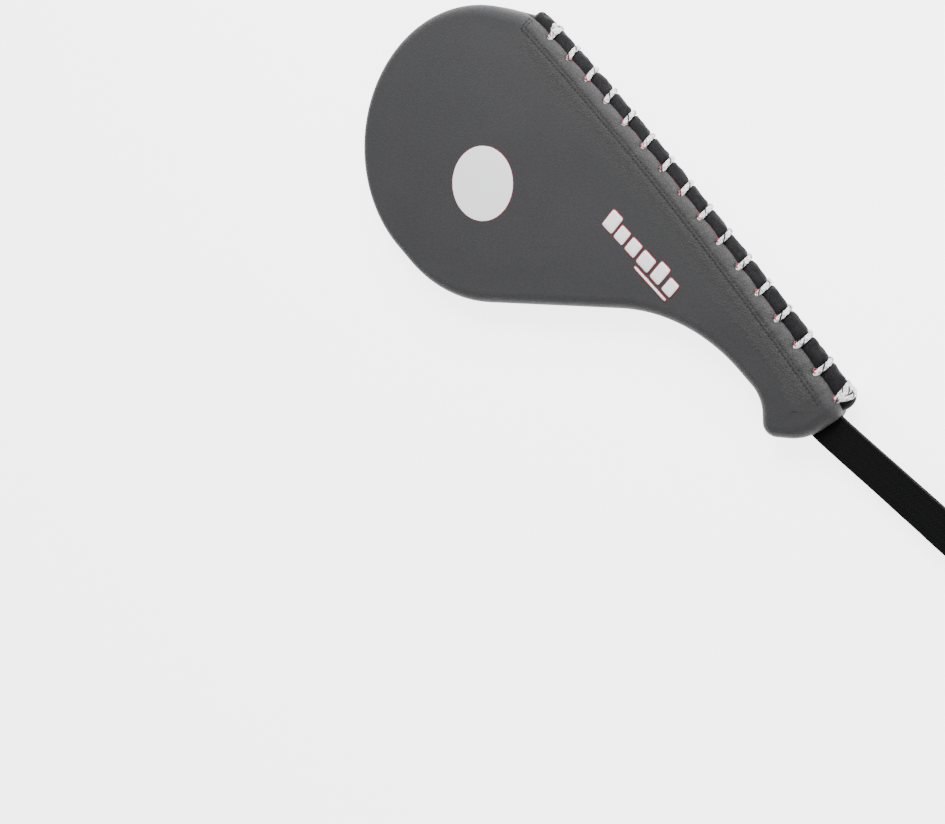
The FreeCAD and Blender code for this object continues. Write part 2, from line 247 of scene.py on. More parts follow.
def outward_normals(mesh):
    """Turns a closed mesh's faces outwards."""
    work = bmesh.new()
    work.from_mesh(mesh)
    bmesh.ops.recalc_face_normals(work, faces=work.faces)
    work.to_mesh(mesh)
    work.free()
    mesh.update()


def put_mesh(name, points, faces, uvs=None, merge=True, smooth=True):
    """Object from whole arrays of points (mm) and four-cornered faces, at the origin."""
    faces = np.asarray(faces, dtype=np.int32)
    mesh = bpy.data.meshes.new(name)
    mesh.vertices.add(len(points))
    mesh.vertices.foreach_set("co", (np.asarray(points) * MM).astype(np.float32).ravel())
    mesh.loops.add(faces.size)
    mesh.loops.foreach_set("vertex_index", faces.ravel())
    mesh.polygons.add(len(faces))
    starts = np.arange(0, faces.size, faces.shape[1], dtype=np.int32)
    mesh.polygons.foreach_set("loop_start", starts)
    mesh.update(calc_edges=True)
    if uvs is not None:
        layer = mesh.uv_layers.new(name="UVMap")
        layer.data.foreach_set("uv", uvs.astype(np.float32).ravel())
    if merge:
        merge_points(mesh)
    if smooth:
        mesh.polygons.foreach_set("use_smooth", np.ones(len(mesh.polygons), dtype=bool))
    mesh.update()
    piece = bpy.data.objects.new(name, mesh)
    bpy.context.scene.collection.objects.link(piece)
    return piece


def grid_faces(rows, columns, wrap_rows=False, wrap_columns=False):
    """Faces of a grid of points numbered row by row, and each corner's place in rows and columns."""
    row = np.arange(rows if wrap_rows else rows - 1)
    column = np.arange(columns if wrap_columns else columns - 1)
    row, column = np.meshgrid(row, column, indexing="ij")
    corner_rows = np.stack([row, row, row + 1, row + 1], axis=-1).reshape(-1, 4)
    corner_columns = np.stack([column, column + 1, column + 1, column], axis=-1).reshape(-1, 4)
    faces = (corner_rows % rows) * columns + corner_columns % columns
    return faces, corner_rows, corner_columns


def grid_piece(name, points, u=None, v=None):
    """Object from a grid of points whose rows are closed rings, with its texture map from each
    row's u and each column's v."""
    rows, columns = points.shape[:2]
    faces, corner_rows, corner_columns = grid_faces(rows, columns, wrap_columns=True)
    uvs = None
    if u is not None:
        uvs = np.stack([u[corner_rows], v[corner_columns]], axis=-1)
    return put_mesh(name, points.reshape(-1, 3), faces, uvs)


def closed_ends(rings, first, last):
    """Rings of points with one more ring at each end, drawn together at a single point."""
    around = rings.shape[1]
    return np.concatenate([np.repeat(first, around, axis=1), rings, np.repeat(last, around, axis=1)])


def tube_grid(path, radius, around, ribs=None):
    """Round tube along a path, closed at both ends: each ring is the path's point plus the radius
    times the cosine and sine round two directions across it, carried along without twisting."""
    way = unit(np.gradient(path, axis=0))
    side = np.empty_like(way)
    start = np.cross(way[0], [0.0, 0.0, 1.0])
    side[0] = start - way[0] * np.dot(start, way[0])
    side[0] = side[0] / np.linalg.norm(side[0])
    for i in range(1, len(path)):
        carried = side[i - 1] - way[i] * np.dot(side[i - 1], way[i])
        side[i] = carried / np.linalg.norm(carried)
    lift = np.cross(way, side)
    angle = round_angles(around)
    rings = side[:, None] * np.cos(angle)[:, None] + lift[:, None] * np.sin(angle)[:, None]
    thick = np.asarray(radius, dtype=float).reshape(-1, 1)
    reach = np.broadcast_to(thick, (len(path), around))
    run = run_along(path)
    if ribs is not None:
        reach = reach * ribs(run[:, None], angle[None, :])
    points = path[:, None] + rings * reach[..., None]
    points = closed_ends(points, path[None, :1], path[None, -1:])
    return points, np.concatenate([run[:1], run, run[-1:]])


def tube_piece(name, path, radius, around, ribs=None):
    """A tube_grid as an object: u runs along it in millimetres and v once round it."""
    points, run = tube_grid(path, radius, around, ribs)
    return grid_piece(name, points, u=run, v=np.linspace(0, 1, around + 1))


def joined_tubes(name, tubes):
    """Several tube grids of the same ring count in one object."""
    all_points, all_faces, all_uvs, offset = [], [], [], 0
    for points, run in tubes:
        rows, columns = points.shape[:2]
        faces, corner_rows, corner_columns = grid_faces(rows, columns, wrap_columns=True)
        all_faces.append(faces + offset)
        all_uvs.append(np.stack([run[corner_rows], corner_columns / columns], axis=-1))
        all_points.append(points.reshape(-1, 3))
        offset += rows * columns
    points, faces, uvs = map(np.concatenate, (all_points, all_faces, all_uvs))
    return put_mesh(name, points, faces, uvs)


def put_many(name, points, faces):
    """One object of many like shapes: each row of points is one shape, and all share the faces."""
    shapes, count = points.shape[:2]
    all_faces = faces[None] + (np.arange(shapes) * count)[:, None, None]
    return put_mesh(name, points.reshape(-1, 3), all_faces.reshape(-1, faces.shape[1]))


def repeated(name, template, faces, origins, axes):
    """Many copies of one shape: each is the template's points along three axes at its origin."""
    points = origins[:, None] + np.einsum("pk,nkd->npd", template, axes)
    return put_many(name, points, faces)


def finish_piece(piece, body, material, replaced=()):
    """Gives a piece its finish and the body it rides on."""
    if not piece.modifiers:
        outward_normals(piece.data)
    piece.data.materials.clear()
    piece.data.materials.append(material)
    if replaced:
        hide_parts(*replaced)
    if body:
        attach(piece, body)
    return piece


def set_attribute(piece, name, values):
    """Writes one number per point, which the piece's material reads."""
    attribute = piece.data.attributes.new(name, "FLOAT", "POINT")
    attribute.data.foreach_set("value", values.astype(np.float32).ravel())


# ---------------------------------------------------------------- surface of a cover

SHOULDER_GIRTH = EDGE_ROUND * math.pi / 2
HOLE_GIRTH = 2.4
STITCH_GIRTHS = (14.1, 11.5)
STITCH_FIRST = (-12.0, -9.4)
STITCH_LAST = 303.0
STITCH_GROOVE = 0.75
LEG_LOW_GIRTH = 3.2


def hole_places(side):
    """Where one cover's holes are along the laced edge: the back ones lie half a pitch nearer the
    head."""
    first = FIRST_HOLE - 1.0 if side > 0 else FIRST_HOLE - LACE_PITCH / 2 + 1.0
    return first + LACE_PITCH * np.arange(LACE_HOLES)


def nearest_hole(along, side):
    """Signed distance along the edge to the nearest hole."""
    places = hole_places(side)
    index = np.clip(np.rint((along - places[0]) / LACE_PITCH), 0, LACE_HOLES - 1)
    return along - (places[0] + index * LACE_PITCH)


def laced_share(along):
    """1 where the cover is hemmed and open for the lacing, 0 where it is sewn to the other cover."""
    return between(wrapped(along), -26.0, 14.0, LACE_LENGTH + 19.0, 7.0)


def wrapped(along):
    """Distance along the outline, taken between minus and plus half of its length."""
    return np.mod(along + EDGE_TOTAL / 2, EDGE_TOTAL) - EDGE_TOTAL / 2


def strap_share(along):
    """1 where the webbing leaves between the covers."""
    point, _ = edge_at(along)
    direction = np.array([math.sin(END_TURN), -math.cos(END_TURN)])
    across = np.abs((point - STRAP_PIVOT[:2]) @ direction)
    near = np.linalg.norm(point - STRAP_PIVOT[:2], axis=-1) < 25
    return ease((12.6 - across) / 2.4) * near


def hem_girth(along):
    """Girth of the cover's free edge: 0 at the top of the wall, 6 mm lower at the seam between the
    covers."""
    sewn = -HEM_LIFT * (1 - laced_share(along))
    return np.maximum(sewn, -HEM_LIFT + 2.05 * strap_share(along))


def cover_relief(along, girth, x, y, side, puff):
    """How far the leather stands off its plain shape: the crown of the padding, the pull of each
    lace hole, the puckers between them, the sunk rows of stitches and small unevenness."""
    along = wrapped(along)
    laced = between(along, -6.0, 8.0, LACE_LENGTH + 4.0, 6.0)
    gap = nearest_hole(along, side)
    shoulder = bell(np.maximum(girth - 4.5, 0), 4.2)
    handle = 0.55 + 0.75 * ease(along / LACE_LENGTH) ** 2
    pull = -0.6 * bell(gap, 2.0) * shoulder * handle
    swell = 0.32 * (0.5 - 0.5 * np.cos(2 * math.pi * gap / LACE_PITCH)) * shoulder
    band = between(girth, -1.0, 3.0, 21.0, 10.0)
    puckers = 0.20 * ripples(along / 6.5, girth / 26.0, 3 + side, 18) * band * handle
    fan = bell(gap, 1.2 + 0.35 * np.maximum(girth, 0)) * between(girth, 0.0, 3.0, 15.0, 9.0)
    puckers = puckers - 0.34 * fan * handle
    distance = np.sqrt(gap ** 2 + (girth - HOLE_GIRTH) ** 2)
    hole = -2.3 * bell(distance, 1.7, 4)
    relief = laced * (pull + swell + puckers + hole)
    for row, first in zip(STITCH_GIRTHS, STITCH_FIRST):
        on_row = between(along, first, 1.0, STITCH_LAST, 10.0)
        bite = 0.8 + 0.2 * np.cos(2 * math.pi * along / 2.8)
        relief = relief - 0.42 * on_row * bite * bell(girth - row, STITCH_GROOVE)
        on_leg = between(girth, LEG_LOW_GIRTH, 2.0, row + 0.5, 1.0)
        relief = relief - 0.36 * on_leg * bell(along - first, STITCH_GROOVE)
    relief = relief + 0.3 * laced * bell(girth - 18.0, 3.0)
    sewn = 1 - laced_share(along)
    seam_pucker = 0.10 * np.sin(2 * math.pi * along / 4.1) * bell(girth + 4.2, 1.6)
    relief = relief + sewn * seam_pucker
    inner = ease((girth - SHOULDER_GIRTH) / 26.0)
    head = np.exp(-0.5 * (((x - 4.0) / 66.0) ** 2 + ((y + 2.0) / 62.0) ** 2))
    grip = np.exp(-0.5 * (((x - 256.0) / 30.0) ** 2 + ((y - 10.0) / 22.0) ** 2))
    waves = 0.22 * ripples(x / 85.0, y / 85.0, 11, 10)
    crown = puff * (head + 0.8 * grip) + waves
    if side < 0:
        crown = -0.35 * np.abs(waves)
        drawn_in = bell(along - LACE_LENGTH - 12.0, 8.5) * ease((10.0 - girth) / 9.0)
        relief = relief - 4.3 * drawn_in
    return relief + inner * crown


def cover_surface(along, girth, side, puff, with_relief=True):
    """Point and outward normal of a cover, by the distance along the outline and the girth above the
    wall's top: a plain wall below 0, a quarter circle of 8 mm, then the level face."""
    along, girth = np.broadcast_arrays(np.asarray(along, dtype=float), np.asarray(girth, dtype=float))
    turn = np.clip(girth / EDGE_ROUND, 0, math.pi / 2)
    inset = EDGE_ROUND * (1 - np.cos(turn)) + np.maximum(girth - SHOULDER_GIRTH, 0)
    lift = WALL_TOP + EDGE_ROUND * np.sin(turn) + np.minimum(girth, 0)
    edge, normal = edge_at(along)
    flat = edge - normal * inset[..., None]
    curl = 0.75 * bell(girth - hem_girth(along), 0.8)
    flat = flat - normal * curl[..., None]
    outward = np.concatenate([normal * np.cos(turn)[..., None], np.sin(turn)[..., None]], axis=-1)
    point = np.concatenate([flat, lift[..., None]], axis=-1)
    if with_relief:
        relief = cover_relief(along, girth, point[..., 0], point[..., 1], side, puff)
        point = point + outward * relief[..., None]
    if side < 0:
        point[..., 2] = THICKNESS - point[..., 2]
        outward = outward * np.array([1.0, 1.0, -1.0])
    return point, outward


LACED_COLUMNS_SHARE = 0.80
MIDDLE_LINE = (-38.0, 291.0)
FACE_CROWDING = 3.1


def column_places(count):
    """Places round the outline for a cover's columns, close together along the laced edge. The upper
    side runs from the head's far end past the lacing to the handle's end, and each place on the
    lower side is at the same share of its own length."""
    far = EDGE_ALONG[np.argmin(EDGE_POINTS[:, 0])] - EDGE_TOTAL
    near = EDGE_ALONG[np.argmin(np.linalg.norm(EDGE_POINTS - STRAP_PIVOT[:2], axis=1))]
    knots = np.array([far, -14.0, LACE_LENGTH + 4.0, near])
    laced_columns = int(count * LACED_COLUMNS_SHARE)
    end_columns = 10
    numbers = np.array([0, count - laced_columns - end_columns, count - end_columns, count])
    upper = np.interp(np.arange(count + 1), numbers, knots)
    share = (upper - far) / (near - far)
    lower = far + EDGE_TOTAL + (near - far - EDGE_TOTAL) * share
    return upper, lower


def cover_grid(side, puff, columns=380, wall_rows=18, face_rows=24):
    """Grid of a cover: its rows climb the wall and shoulder, then run level to a line down the middle,
    which is halfway between each upper place and its partner below, held near both ends."""
    upper, lower = column_places(columns)
    along = np.concatenate([upper, lower[-2:0:-1]])
    partner = np.concatenate([np.arange(columns + 1), np.arange(columns - 1, 0, -1)])
    start = hem_girth(along)
    share = np.linspace(0, 1, wall_rows + 1)[:, None]
    girth = start[None] + (SHOULDER_GIRTH - start[None]) * share
    wall, _ = cover_surface(along[None], girth, side, puff)
    rim, _ = cover_surface(along, np.full(along.shape, SHOULDER_GIRTH), side, puff, with_relief=False)
    top = rim[: columns + 1, :2]
    low = np.concatenate([rim[:1, :2], rim[:columns:-1, :2], rim[columns : columns + 1, :2]])
    middle = (top + low) / 2
    first = np.argmax(middle[:, 0] > MIDDLE_LINE[0])
    last = len(middle) - 1 - np.argmax(middle[::-1, 0] < MIDDLE_LINE[1])
    middle = middle[np.clip(np.arange(columns + 1), first, last)]
    target = middle[partner]
    step = np.arange(1, face_rows + 1)[:, None] / face_rows
    share = (np.exp(FACE_CROWDING * step) - 1) / (math.exp(FACE_CROWDING) - 1)
    flat = rim[None, :, :2] + (target - rim[:, :2])[None] * share[..., None]
    depth = SHOULDER_GIRTH + share * np.linalg.norm(target - rim[:, :2], axis=1)[None]
    relief = cover_relief(along[None], depth, flat[..., 0], flat[..., 1], side, puff)
    lift = THICKNESS + relief if side > 0 else -relief
    face = np.concatenate([flat, lift[..., None]], axis=-1)
    points = np.concatenate([wall, face])
    girths = np.concatenate([girth, depth])
    return points, np.broadcast_to(along, girths.shape), girths


def face_lift(x, y, puff):
    """Height of the front face well inside its rim."""
    deep = np.full(np.shape(x), 60.0)
    return THICKNESS + cover_relief(np.full(np.shape(x), -180.0), deep, x, y, 1, puff)


# ---------------------------------------------------------------- materials


def start_material(name):
    """An empty node tree with its output and one shader."""
    material = bpy.data.materials.new(name)
    material.use_nodes = True
    tree = material.node_tree
    tree.nodes.clear()
    output = tree.nodes.new("ShaderNodeOutputMaterial")
    shader = tree.nodes.new("ShaderNodeBsdfPrincipled")
    tree.links.new(shader.outputs["BSDF"], output.inputs["Surface"])
    return material, tree, shader


def add_node(tree, kind, settings=None, **inputs):
    """A node with its settings and plain input values; an input that is a socket is linked."""
    made = tree.nodes.new(kind)
    for name, value in (settings or {}).items():
        setattr(made, name, value)
    for name, value in inputs.items():
        numbered = name[0] == "i" and name[1:].isdigit()
        socket = made.inputs[int(name[1:]) if numbered else name.replace("_", " ")]
        if isinstance(value, bpy.types.NodeSocket):
            tree.links.new(value, socket)
        else:
            socket.default_value = value
    return made


def finish_shader(tree, shader, colour, roughness, normal, **plain):
    """Links a finish's colour, roughness and normal, and sets plain numbers on the shader's own
    sockets."""
    tree.links.new(colour, shader.inputs["Base Color"])
    tree.links.new(roughness, shader.inputs["Roughness"])
    tree.links.new(normal, shader.inputs["Normal"])
    for name, value in plain.items():
        shader.inputs[name.replace("_", " ")].default_value = value


def object_place(tree):
    return add_node(tree, "ShaderNodeTexCoord").outputs["Object"]


def noise(tree, place, scale, detail=3.0, roughness=0.55, distortion=0.0):
    made = add_node(tree, "ShaderNodeTexNoise", None, Vector=place, Scale=scale, Detail=detail,
                    Roughness=roughness, Distortion=distortion)
    return made.outputs["Fac"]


def cells(tree, place, scale):
    settings = {"feature": "DISTANCE_TO_EDGE"}
    made = add_node(tree, "ShaderNodeTexVoronoi", settings, Vector=place, Scale=scale)
    return made.outputs["Distance"]


def math_node(tree, operation, first, second=0.0):
    return add_node(tree, "ShaderNodeMath", {"operation": operation}, i0=first, i1=second).outputs[0]


def total(tree, first, second):
    return math_node(tree, "ADD", first, second)


def product(tree, first, second):
    return math_node(tree, "MULTIPLY", first, second)


def wave(tree, value):
    return math_node(tree, "SINE", value)


def ramp(tree, value, low, high, to_low=0.0, to_high=1.0):
    made = add_node(tree, "ShaderNodeMapRange", {"interpolation_type": "SMOOTHSTEP"}, Value=value)
    made.inputs["From Min"].default_value = low
    made.inputs["From Max"].default_value = high
    made.inputs["To Min"].default_value = to_low
    made.inputs["To Max"].default_value = to_high
    return made.outputs["Result"]


def blend_colours(tree, share, first, second):
    made = add_node(tree, "ShaderNodeMix", {"data_type": "RGBA"})
    for socket, value in ((made.inputs[0], share), (made.inputs[6], first), (made.inputs[7], second)):
        if isinstance(value, bpy.types.NodeSocket):
            tree.links.new(value, socket)
        elif isinstance(value, (int, float)):
            socket.default_value = value
        else:
            socket.default_value = (*value, 1.0)
    return made.outputs[2]


def bump(tree, height, distance, strength=1.0, normal=None):
    made = add_node(tree, "ShaderNodeBump", None, Height=height, Distance=distance, Strength=strength)
    if normal is not None:
        tree.links.new(normal, made.inputs["Normal"])
    return made.outputs["Normal"]


def own_number(tree, name):
    return add_node(tree, "ShaderNodeAttribute", {"attribute_name": name}).outputs["Fac"]


def shade(colour, factor):
    return tuple(min(1.0, c * factor) for c in colour)


def cover_leather(colour, shoulder_highlight_colour):
    """Satin coated leather: pebbled grain, finer and more creased on the laced shoulder, soft tone changes
    over the face, a paler laced shoulder painted as a highlight and flecked with grain, painted shade in the
    grain's valleys and a slightly dull bloom."""
    material, tree, shader = start_material("cover_leather")
    place = object_place(tree)
    worked_and_lit = own_number(tree, "worked_and_lit")
    drift = add_node(tree, "ShaderNodeTexNoise", None, Vector=place, Scale=420.0, Detail=2.0)
    warp = add_node(tree, "ShaderNodeVectorMath", {"operation": "MULTIPLY_ADD"},
                    i0=drift.outputs["Color"], i1=(0.0011, 0.0011, 0.0011), i2=place)
    pebble = ramp(tree, cells(tree, warp.outputs[0], 640.0), 0.0, 0.30)
    fine = noise(tree, place, 2300.0, 3.0, 0.62)
    crease = noise(tree, place, 240.0, 5.0, 0.68, 0.9)
    broad = noise(tree, place, 17.0, 3.0, 0.5)
    speckle = noise(tree, place, 900.0, 2.0, 0.7)
    slanted = add_node(tree, "ShaderNodeMapping", None, Vector=place, Rotation=(0.0, 0.0, 0.95),
                       Scale=(1.0, 3.6, 1.0))
    wrinkle = noise(tree, slanted.outputs["Vector"], 260.0, 3.0, 0.6, 0.4)
    tone = ramp(tree, broad, 0.3, 0.7)
    base = blend_colours(tree, tone, shade(colour, 0.95), shade(colour, 1.05))
    flecks = ramp(tree, speckle, 0.35, 0.68)
    # The laced shoulder is painted paler than the face: a painted highlight, mottled with real grain flecks
    # and wrinkles.
    shoulder_highlight_and_grain = blend_colours(tree, flecks, shade(shoulder_highlight_colour, 0.85), shade(shoulder_highlight_colour, 1.18))
    shoulder_highlight_and_grain = blend_colours(tree, ramp(tree, wrinkle, 0.36, 0.60), shade(shoulder_highlight_colour, 0.93), shoulder_highlight_and_grain)
    base = blend_colours(tree, worked_and_lit, base, shoulder_highlight_and_grain)
    # Painted shade: the grain's valleys are darkened.
    grain_valley_shade = product(tree, math_node(tree, "SUBTRACT", 1.0, pebble), 0.30)
    base = blend_colours(tree, grain_valley_shade, base, shade(colour, 0.45))
    rough = ramp(tree, total(tree, fine, product(tree, broad, 0.5)), 0.45, 1.1, 0.50, 0.66)
    depth = total(tree, 0.35, product(tree, worked_and_lit, 0.65))
    grain = product(tree, total(tree, pebble, product(tree, fine, 0.5)), depth)
    normal = bump(tree, grain, 0.00022, 0.9)
    creases = product(tree, crease, total(tree, 0.25, worked_and_lit))
    normal = bump(tree, creases, 0.0007, 0.6, normal)
    normal = bump(tree, product(tree, wrinkle, worked_and_lit), 0.0006, 0.6, normal)
    finish_shader(tree, shader, base, rough, normal, IOR=1.42, Specular_IOR_Level=0.28)
    return material


def tongue_leather(colour):
    """Black satin leather with fine ridges across the roll and a dull grain."""
    material, tree, shader = start_material("tongue_leather")
    place = object_place(tree)
    pebble = ramp(tree, cells(tree, place, 760.0), 0.0, 0.3)
    fine = noise(tree, place, 1900.0, 3.0)
    crease = noise(tree, place, 160.0, 4.0, 0.6, 0.7)
    base = blend_colours(tree, ramp(tree, fine, 0.35, 0.7), shade(colour, 0.7), shade(colour, 1.7))
    rough = ramp(tree, crease, 0.3, 0.7, 0.46, 0.62)
    normal = bump(tree, total(tree, pebble, product(tree, fine, 0.6)), 0.00012, 0.7)
    normal = bump(tree, crease, 0.0006, 0.5, normal)
    finish_shader(tree, shader, base, rough, normal, IOR=1.4, Specular_IOR_Level=0.15)
    return material


def uv_place(tree):
    return add_node(tree, "ShaderNodeUVMap", {"uv_map": "UVMap"}).outputs["UV"]


def split(tree, vector):
    made = add_node(tree, "ShaderNodeSeparateXYZ", None, Vector=vector)
    return made.outputs[0], made.outputs[1]


def braid_strands(tree, along, around):
    """Two crossing families of strands: the higher of two sine ridges that wind opposite ways."""
    turn = product(tree, around, BRAID_RIDGES * 2 * math.pi)
    advance = product(tree, along, 2 * math.pi / BRAID_LAY)
    one = wave(tree, total(tree, turn, advance))
    other = wave(tree, math_node(tree, "SUBTRACT", turn, advance))
    return one, math_node(tree, "MAXIMUM", one, other)


def lace_braid(colour, fleck_colour):
    """White braided lace: plaited strands from two crossing waves, painted shade in the valleys between
    them, and dark flecks on one family.
    """
    material, tree, shader = start_material("lace_braid")
    along, around = split(tree, uv_place(tree))
    one, high = braid_strands(tree, along, around)
    slow_advance = product(tree, along, 2 * math.pi / (2 * BRAID_LAY))
    slow = wave(tree, total(tree, slow_advance, product(tree, around, 2 * math.pi)))
    fleck = product(tree, ramp(tree, one, 0.1, 0.4), ramp(tree, slow, 0.1, 0.35))
    fibre = noise(tree, object_place(tree), 2600.0, 2.0, 0.7)
    # Painted shade: the lace is darker in the valleys between its strands.
    base = blend_colours(tree, ramp(tree, high, -0.2, 0.75), shade(colour, 0.62), colour)
    base = blend_colours(tree, product(tree, ramp(tree, fibre, 0.3, 0.8), 0.18), base, shade(colour, 0.7))
    base = blend_colours(tree, fleck, base, fleck_colour)
    rough = ramp(tree, fibre, 0.2, 0.8, 0.62, 0.85)
    normal = bump(tree, total(tree, high, product(tree, fibre, 0.5)), 0.00028, 0.8)
    finish_shader(tree, shader, base, rough, normal, Sheen_Weight=0.15)
    return material


def strap_weave(colour):
    """Black woven webbing: narrow ribs across the band, each made of slanted yarns, with painted highlights
    on their tops, painted shade between them and a dull fleck.
    """
    material, tree, shader = start_material("strap_weave")
    along, across = split(tree, uv_place(tree))
    rib = wave(tree, product(tree, along, 2 * math.pi / 1.15))
    lean = math_node(tree, "PINGPONG", across, 1.9)
    slant = product(tree, lean, 2 * math.pi / 0.95)
    yarn = wave(tree, total(tree, slant, product(tree, along, 2 * math.pi / 2.3)))
    height = total(tree, product(tree, rib, 0.45), product(tree, yarn, 0.75))
    fibre = noise(tree, object_place(tree), 2400.0, 3.0, 0.7)
    # Painted light and shade: rib and yarn tops are painted lighter and the valleys darker, mixed with
    # random fibre tone.
    tone = ramp(tree, total(tree, height, product(tree, fibre, 1.2)), -0.2, 1.9)
    base = blend_colours(tree, tone, shade(colour, 0.45), shade(colour, 2.3))
    rough = ramp(tree, fibre, 0.2, 0.8, 0.58, 0.8)
    normal = bump(tree, total(tree, height, product(tree, fibre, 0.6)), 0.00022, 0.75)
    finish_shader(tree, shader, base, rough, normal, Specular_IOR_Level=0.1)
    return material


def plain_finish(name, colour, rough, grain_scale, grain_depth, metallic=0.0, mottling=0.25, sheen=0.0):
    """A finish of one colour with mottling, uneven gloss and a grain of the given size and depth."""
    material, tree, shader = start_material(name)
    place = object_place(tree)
    grain = noise(tree, place, grain_scale, 4.0, 0.6)
    broad = noise(tree, place, grain_scale / 12.0, 3.0, 0.5)
    mottle = total(tree, product(tree, grain, 0.6), product(tree, broad, 0.4))
    tone = ramp(tree, mottle, 0.3, 0.7)
    base = blend_colours(tree, tone, shade(colour, 1 - mottling), shade(colour, 1 + mottling))
    gloss = ramp(tree, grain, 0.3, 0.7, rough - 0.08, rough + 0.08)
    normal = bump(tree, grain, grain_depth, 0.6)
    finish_shader(tree, shader, base, gloss, normal, Metallic=metallic, Sheen_Weight=sheen)
    return material


def spot_film(colour):
    """Smooth white film: a faint cloudiness, tiny pits from the leather below darkened with painted shade,
    and a soft gloss.
    """
    material, tree, shader = start_material("spot_film")
    place = object_place(tree)
    cloud = noise(tree, place, 60.0, 4.0, 0.6)
    pit = ramp(tree, cells(tree, place, 640.0), 0.0, 0.22)
    base = blend_colours(tree, ramp(tree, cloud, 0.35, 0.65), shade(colour, 0.975), colour)
    # Painted shade: the pits are darkened.
    pit_shade = product(tree, math_node(tree, "SUBTRACT", 1.0, pit), 0.10)
    base = blend_colours(tree, pit_shade, base, shade(colour, 0.8))
    rough = ramp(tree, cloud, 0.3, 0.7, 0.34, 0.46)
    finish_shader(tree, shader, base, rough, bump(tree, pit, 0.00005, 0.5))
    return material


# ---------------------------------------------------------------- what a user may change


class PaddleSettings(PropertyGroup):
    """Sizes and colours of the finish."""

    puff: FloatProperty(
        name="Crown", description="How far the padding lifts the middle of the front face",
        default=0.0016, min=0.0, max=0.006, unit="LENGTH", subtype="DISTANCE")
    cover_columns: IntProperty(
        name="Cover columns", description="Columns of faces on each side of a cover",
        default=380, min=120, max=420)
    lace_radius: FloatProperty(
        name="Lace radius", description="Half of the lace's thickness",
        default=0.00165, min=0.0008, max=0.0025, unit="LENGTH", subtype="DISTANCE")
    tongue_swell: FloatProperty(
        name="Tongue swell", description="How far the black roll bulges out between two crossings",
        default=0.0052, min=0.001, max=0.008, unit="LENGTH", subtype="DISTANCE")
    stitch_pitch: FloatProperty(
        name="Stitch pitch", description="Distance from one stitch to the next",
        default=0.0028, min=0.002, max=0.006, unit="LENGTH", subtype="DISTANCE")
    spot_diameter: FloatProperty(
        name="Spot diameter", description="Diameter of the white target spot",
        default=0.050, min=0.02, max=0.08, unit="LENGTH", subtype="DISTANCE")
    cover_colour: FloatVectorProperty(
        name="Cover", description="Colour of the covers", subtype="COLOR", size=3,
        default=(0.043, 0.043, 0.045))
    # A paler colour painted on the laced shoulder: a painted highlight where the light falls there, not a
    # different leather.
    lit_shoulder_colour: FloatVectorProperty(
        name="Shoulder", description="Colour of the worked leather beside the lacing",
        subtype="COLOR", size=3, default=(0.053, 0.053, 0.053))
    tongue_colour: FloatVectorProperty(
        name="Tongue", description="Colour of the roll under the lace", subtype="COLOR", size=3,
        default=(0.006, 0.006, 0.007))
    lace_colour: FloatVectorProperty(
        name="Lace", description="Colour of the lace", subtype="COLOR", size=3, default=(0.86, 0.86, 0.86))
    facing_colour: FloatVectorProperty(
        name="Facing", description="Colour of the hem lining and the hole rims", subtype="COLOR", size=3,
        default=(0.25, 0.01, 0.03))
    webbing_colour: FloatVectorProperty(
        name="Webbing", description="Colour of the wrist webbing", subtype="COLOR", size=3,
        default=(0.0026, 0.0026, 0.003))
    spot_colour: FloatVectorProperty(
        name="Spot", description="Colour of the target spots and the print", subtype="COLOR", size=3,
        default=(0.97, 0.98, 0.98))


def settings():
    return bpy.context.scene.paddle_settings


# ---------------------------------------------------------------- pieces


def make_covers():
    """Both covers as padded skins with a wall of leather inside them."""
    chosen = settings()
    leather = cover_leather(tuple(chosen.cover_colour), tuple(chosen.lit_shoulder_colour))
    for side, name in ((1, "front_cover_skin"), (-1, "back_cover_skin")):
        points, along, girth = cover_grid(side, chosen.puff / MM, chosen.cover_columns)
        rows, columns = points.shape[:2]
        faces, _, _ = grid_faces(rows, columns, wrap_columns=True)
        faces = faces[:, ::-1] if side > 0 else faces
        piece = put_mesh(name, points.reshape(-1, 3), faces, merge=False)
        place = wrapped(along)
        # This mask marks the laced shoulder: it deepens the grain and creases there and paints the shoulder
        # paler, a painted highlight.
        worked_and_lit = between(place, -16.0, 14.0, LACE_LENGTH + 8.0, 16.0)
        worked_and_lit = worked_and_lit * between(girth, -7.0, 4.0, 36.0, 22.0)
        set_attribute(piece, "worked_and_lit", worked_and_lit)
        merge_points(piece.data)
        wall = piece.modifiers.new("leather wall", "SOLIDIFY")
        wall.thickness = 1.0 * MM
        wall.offset = -1.0
        wall.use_even_offset = False
        finish_piece(piece, "root", leather, ("front_cover" if side > 0 else "back_cover",))


LINING_RADIUS = 0.42
LINING_INSET = 0.25
RIM_RADIUS = 1.95


